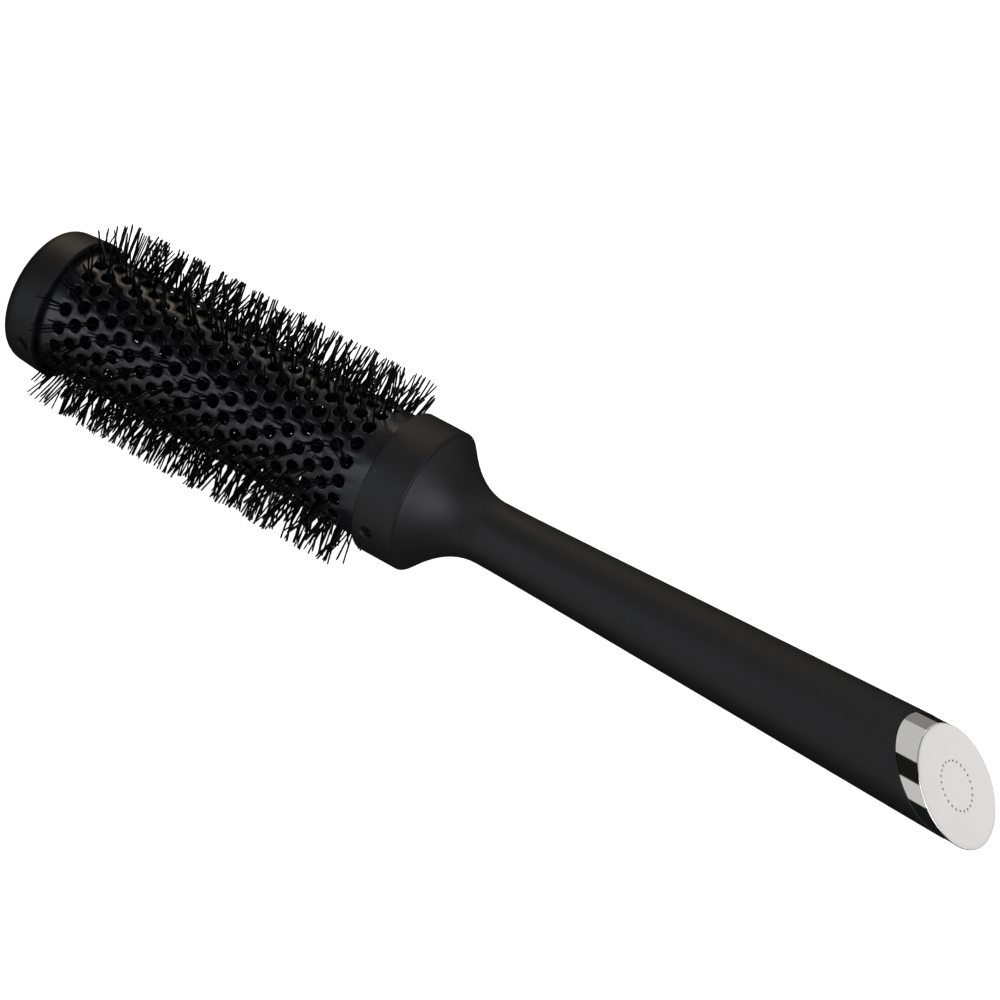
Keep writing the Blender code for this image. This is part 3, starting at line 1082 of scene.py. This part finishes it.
@dataclass(frozen=True)
class Slant:
    """A plane across the butt: x + z tan(angle) = middle."""

    middle: float
    angle: float

    def x_at(self, z: Array) -> Array:
        """Where the plane is along the axis at a height z."""
        return self.middle - np.asarray(z) * math.tan(self.angle)
    def ring(self, radius: Array, angle: Array, shift: float = 0.0) -> Array:
        """Points on the plane at radii and angles round the axis, shifted along the axis."""
        return around(self.x_at(radius * np.cos(angle)) + shift, radius, angle)
    def meet(self, radius_at: Callable[[Array], Array], angle: Array) -> Array:
        """Where the plane cuts a turned surface, found by putting the last radius back in.

        Args:
            radius_at: the surface's radius at any x.
            angle: angles round the axis.

        Returns:
            x of the cut at each angle.
        """
        x = np.full_like(angle, self.middle)
        for _ in range(12):
            x = self.x_at(radius_at(x) * np.cos(angle))
        return x


@dataclass
class Handle:
    """The soft-touch handle: bell, neck and conical grip, cut slantwise at the seam."""

    finish: bpy.types.Material
    contour: Contour
    seam: Slant
    lip: float = 0.00016
    wall: float = 0.0019
    socket_depth: float = 0.002
    seam_lip: float = 0.00010
    parting: float = 0.00024
    front_depth: float = 0.0012
    front_bore: Pair = (0.0148, 0.0152)
    crowding: float = 1.15
    columns: int = 168
    bell_rows: int = 56
    grip_rows: int = 60

    def build(self) -> None:
        """Turn the contour, with rows that lean over gradually to end along the seam."""
        start = span("handle_shell")[0] - self.parting
        c = self.contour
        angle = np.arange(self.columns) * TURN / self.columns
        neck = c.shoulder + c.bell_length
        ease = np.linspace(0.0, 1.0, self.bell_rows) ** self.crowding
        bell = start + self.seam_lip + (neck - start - self.seam_lip) * ease
        front = float(c.radius(start))
        edge = fillet((start, front - self.seam_lip), (start, front), (bell[0], float(c.radius(bell[0]))), 3)
        inside, rim = self.front_bore
        deep = start + self.front_depth
        head = [(deep, 0.0), (deep, inside), (start, rim), *edge[:-1]]
        rows = [around(x, r, angle) for x, r in head]
        rows += [around(x, c.radius(np.full_like(angle, x)), angle) for x in bell]
        last = self.seam.meet(c.radius, angle) - self.lip
        for share in np.linspace(0.0, 1.0, self.grip_rows + 1)[1:]:
            x = neck + (last - neck) * share
            rows.append(around(x, c.radius(x), angle))
        for turn in np.linspace(0.0, math.pi / 2, 5)[1:]:
            radius = c.radius(last) - self.lip * (1 - math.cos(turn))
            rows.append(self.seam.ring(radius, angle, -self.lip * (1 - math.sin(turn))))
        inner = c.radius(last) - self.wall
        rows.append(self.seam.ring(inner, angle))
        rows.append(self.seam.ring(inner, angle, -self.socket_depth))
        rows.append(around(self.seam.middle - self.socket_depth, 0.0, angle))
        patch = Patchwork()
        patch.grids(np.stack(rows), wrap=True)
        shell = patch.build("handle_grip")
        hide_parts("handle_shell")
        dress(shell, self.finish)


@dataclass
class EndCap:
    """The plated cap on the butt: a bright slanted band and a flat satin face with a ring of dimples."""

    finish: bpy.types.Material
    contour: Contour
    seam: Slant
    face: Slant
    step: float = 0.00012
    gap: float = 0.00010
    edge: float = 0.00014
    edge_radius: float = 0.0115
    stub_depth: float = 0.0012
    stub_wall: float = 0.0024
    columns: int = 192
    band_rows: int = 12
    dimples: int = 24
    dimple_radius: float = 0.00023
    dimple_depth: float = 0.00034
    ring_share: float = 0.40
    ring_half: float = 0.00055

    def band_radius(self, x: Array) -> Array:
        """Radius of the band: the grip's, less a small step."""
        return self.contour.radius(x) - self.step

    def on_face(self, share: Array | float, angle: Array, depth: Array | float) -> Array:
        """Points of the flat face: a share of the way from its middle to its edge, and how deep under it.

        Args:
            share: 0 at the middle and 1 at the edge.
            angle: angle round the axis.
            depth: distance under the face.

        Returns:
            The points.
        """
        rim = self.band_radius(self.face.meet(self.band_radius, angle))
        points = around(np.zeros_like(angle), rim * share, angle)
        normal = np.array([math.cos(self.face.angle), 0.0, math.sin(self.face.angle)])
        points[..., 0] = self.face.x_at(points[..., 2])
        return points - normal * np.asarray(depth)[..., None]

    def build(self) -> None:
        """Make the stub, the band between both slants, the eased edge and the face."""
        angle = np.arange(self.columns) * TURN / self.columns
        low = self.seam.meet(self.band_radius, angle) + self.gap
        high = self.face.meet(self.band_radius, angle)
        socket = self.band_radius(low) - self.stub_wall
        rows = [around(self.seam.middle - self.stub_depth, 0.0, angle)]
        rows.append(self.seam.ring(socket, angle, -self.stub_depth))
        rows.append(self.seam.ring(socket, angle, self.gap))
        rows.append(self.seam.ring(self.band_radius(low) - self.step, angle, self.gap))
        for share in np.linspace(0.0, 1.0, self.band_rows):
            x = low + self.step + (high - self.edge - low - self.step) * share
            rows.append(around(x, self.band_radius(x), angle))
        satin = [0.0] * len(rows)
        for turn in np.linspace(0.0, math.pi / 2, 6)[1:]:
            under = self.edge * (1 - math.sin(turn))
            share = 1.0 - self.edge * (1 - math.cos(turn)) / self.edge_radius
            rows.append(self.on_face(share, angle, under))
            satin.append(0.0)
        satin[-1] = 1.0
        mean = float(np.mean(self.band_radius(high)))
        half = self.ring_half / mean
        outer, inner = self.ring_share + half, self.ring_share - half
        for share in np.linspace(1.0 - self.edge / self.edge_radius, outer, 8)[1:]:
            rows.append(self.on_face(share, angle, 0.0))
            satin.append(1.0)
        patch = Patchwork("satin")
        patch.grids(np.stack(rows), wrap=True, satin=np.array(satin)[:, None])
        self.add_dimples(patch, mean)
        centre = [self.on_face(share, angle, 0.0) for share in np.linspace(inner, 0.0, 5)]
        patch.grids(np.stack(centre), wrap=True, satin=1.0)
        cap = patch.build("butt_cap")
        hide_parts("end_cap")
        dress(cap, self.finish)

    def add_dimples(self, patch: Patchwork, mean: float) -> None:
        """Lay a ring of punched cells, each with a shallow round dimple, in the face.

        Args:
            patch: where the cells go.
            mean: the face's mean radius, which turns lengths into shares.
        """
        side = self.columns // self.dimples
        radius = self.ring_share * mean
        half_u = math.pi / self.dimples * radius
        r, d = self.dimple_radius, self.dimple_depth
        rings = [(math.inf, 0.0), (r * 1.15, 0.0), (r, d * 0.2), (r * 0.85, d * 0.7), (r * 0.5, d), (0.0, d)]
        cell = punched_cell(side, half_u, self.ring_half, rings)
        turns = np.arange(self.dimples) * TURN / self.dimples + math.pi / self.dimples
        angle = turns[:, None, None] + cell[None, ..., 0] / radius
        share = np.broadcast_to(self.ring_share + cell[None, ..., 1] / mean, angle.shape)
        depth = np.broadcast_to(cell[None, ..., 2], angle.shape)
        patch.grids(self.on_face(share, angle, depth)[:, :, ::-1], wrap=True, satin=1.0)


@dataclass
class InnerParts:
    """CAD nodes that keep their own shape: the plugs and the ferrules inside the barrel."""

    plastic: bpy.types.Material
    steel: bpy.types.Material

    def dress(self) -> None:
        """Give the kept nodes their finishes."""
        for node, material in (
            ("tip_plug", self.plastic),
            ("barrel_spigot", self.plastic),
            ("tip_ferrule", self.steel),
            ("stem_ferrule", self.steel),
        ):
            dress(bpy.data.objects[node], material)
            LOG.info("%s keeps its shape", node)


# Studio


@dataclass(frozen=True)
class SoftBox:
    """A flat soft light that faces the brush."""

    name: str
    towards: Colour
    distance: float
    size: tuple[float, float]
    radiance: float
    colour: Colour = (1.0, 1.0, 1.0)
    roll: float = 0.0

    def build(self, centre: Vector) -> None:
        """Hang the light in its direction from the centre; its power follows from its size and radiance.

        Args:
            centre: the point it faces.
        """
        light = bpy.data.lights.new(self.name, "AREA")
        light.shape = "RECTANGLE"
        light.size, light.size_y = self.size
        light.color = self.colour
        light.energy = self.radiance * math.pi * self.size[0] * self.size[1]
        obj = bpy.data.objects.new(self.name, light)
        way = Vector(self.towards).normalized()
        turn = way.to_track_quat("Z", "Y").to_matrix() @ Matrix.Rotation(self.roll, 3, "Z")
        obj.matrix_world = Matrix.Translation(centre + way * self.distance) @ turn.to_4x4()
        bpy.context.scene.collection.objects.link(obj)


@dataclass(frozen=True)
class Studio:
    """Pale floor, soft boxes, dim surroundings and the camera."""

    camera_from_collar: Colour = (0.261312, -0.406150, 0.486863)
    right: Colour = (0.82582444, 0.55910282, 0.07360728)
    up: Colour = (-0.44304021, 0.56248933, 0.6980839)
    back: Colour = (0.34889736, -0.60910573, 0.71222247)
    lens: float = 104.642
    sensor: float = 36.0
    floor_radius: float = 4.5
    sweep: float = 1.5
    wall_height: float = 6.0
    floor_columns: int = 64
    floor_glow: float = 0.92
    surroundings: float = 0.010
    boxes: tuple[SoftBox, ...] = (
        SoftBox("key_box", (-0.52, -0.75, 0.45), 1.1, (0.32, 0.95), 2.6, (0.91, 0.94, 1.0)),
        SoftBox("back_box", (-0.60, 0.62, 0.51), 1.1, (0.34, 0.6), 3.0, (1.0, 0.84, 0.68)),
        SoftBox(
            "ceiling_box", (0.05, 0.06, 0.97), 0.9, (0.75, 1.6), 0.60, (0.98, 0.99, 1.0), math.radians(40.0)
        ),
        SoftBox("rear_box", (-0.22, 0.90, 0.38), 1.0, (0.9, 0.84), 0.25),
        SoftBox("bell_box", (0.87, -0.36, 0.34), 1.0, (0.60, 0.70), 5.4, (0.95, 0.94, 1.0)),
        SoftBox("face_box", (0.78, 0.62, 0.06), 1.0, (0.52, 0.42), 1.32, (1.0, 0.985, 0.975)),
        SoftBox("low_box", (-0.20, -0.95, -0.20), 0.55, (0.70, 0.44), 0.62),
    )

    def build(self, low: Vector, high: Vector) -> None:
        """Set up everything round the brush.

        Args:
            low: lowest corner of the brush's box.
            high: highest corner.
        """
        scene = bpy.context.scene
        scene.view_settings.view_transform = "Standard"
        scene.view_settings.look = "None"
        self.build_floor(low.z)
        self.build_world()
        for box in self.boxes:
            box.build((low + high) / 2)
        camera = bpy.data.cameras.new("camera")
        camera.lens = self.lens
        camera.sensor_width = self.sensor
        obj = bpy.data.objects.new("camera", camera)
        axes = Matrix((self.right, self.up, self.back)).transposed()
        at = Vector(self.camera_from_collar) + Vector((span("collar_ring")[0], 0.0, 0.0))
        obj.matrix_world = Matrix.Translation(at) @ axes.to_4x4()
        scene.collection.objects.link(obj)
        scene.camera = obj

    def build_floor(self, height: float) -> None:
        """Lay a white laminate floor under the brush's lowest point, swept up all round into a wall.

        The profile is level out to floor_radius, then a quarter circle of radius sweep, then upright.

        Args:
            height: z of its top.
        """
        graph = Graph("white_laminate")
        clouds = graph.noise(6.0, 2.0)
        material = graph.finish(
            Base_Color=graph.blend(clouds, (0.90, 0.90, 0.90), (0.94, 0.94, 0.94)),
            Roughness=0.8,
            Specular_IOR_Level=0.1,
            Emission_Color=(1.0, 1.0, 1.0, 1.0),
            Emission_Strength=self.floor_glow,
        )
        bend = np.linspace(0.0, math.pi / 2, 13)
        edge = self.floor_radius + self.sweep
        reach = np.concatenate([[0.0], self.floor_radius + self.sweep * np.sin(bend), [edge]])[:, None]
        rise = np.concatenate([[0.0], self.sweep * (1.0 - np.cos(bend)), [self.wall_height]])[:, None]
        angle = np.arange(self.floor_columns) * TURN / self.floor_columns
        columns = np.broadcast_arrays(reach * np.cos(angle), reach * np.sin(angle), height + rise)
        points = np.stack(columns, axis=-1)
        faces = grid_faces(len(reach), self.floor_columns, wrap=True)
        mesh = bpy.data.meshes.new("floor")
        mesh.from_pydata(points.reshape(-1, 3), [], faces.reshape(-1, 4)[:, ::-1].tolist())
        mesh.shade_smooth()
        mesh.materials.append(material)
        floor = bpy.data.objects.new("floor", mesh)
        bpy.context.scene.collection.objects.link(floor)
        floor.visible_glossy = False
        floor.visible_diffuse = False
        floor.visible_shadow = False
        floor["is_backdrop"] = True

    def build_world(self) -> None:
        """Dim even surroundings."""
        world = bpy.data.worlds.new("surroundings")
        world.use_nodes = True
        shader = next(n for n in world.node_tree.nodes if n.type == "BACKGROUND")
        shader.inputs["Color"].default_value = (1.0, 1.0, 1.0, 1.0)
        shader.inputs["Strength"].default_value = self.surroundings
        bpy.context.scene.world = world


def main() -> None:
    """Build the brush's pieces in order, then the studio round the brush's box."""
    logging.basicConfig(level=logging.INFO, format="%(name)s: %(message)s")
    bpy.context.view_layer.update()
    soft = SoftTouch().material()
    steel = DrawnSteel().material()
    contour = Contour(shoulder=span("collar_ring")[1])
    butt = mount_place("butt_face")
    seam = Slant(butt - BUTT_CAP_WIDTH, SEAM_ANGLE)
    face = Slant(butt, FACE_ANGLE)
    TipCap(soft).build()
    barrel = Barrel(CeramicCoat().material())
    barrel.build()
    Bristles(NylonFilament().material(), barrel).build()
    WireCore(steel).build()
    Collar(soft).build()
    FasteningPins(PIN_STEEL.material()).build()
    Handle(soft, contour, seam).build()
    EndCap(ChromePlate().material(), contour, seam, face).build()
    InnerParts(MouldedPlastic().material(), steel).dress()
    low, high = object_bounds()
    Studio().build(low, high)


if __name__ == "__main__":
    main()
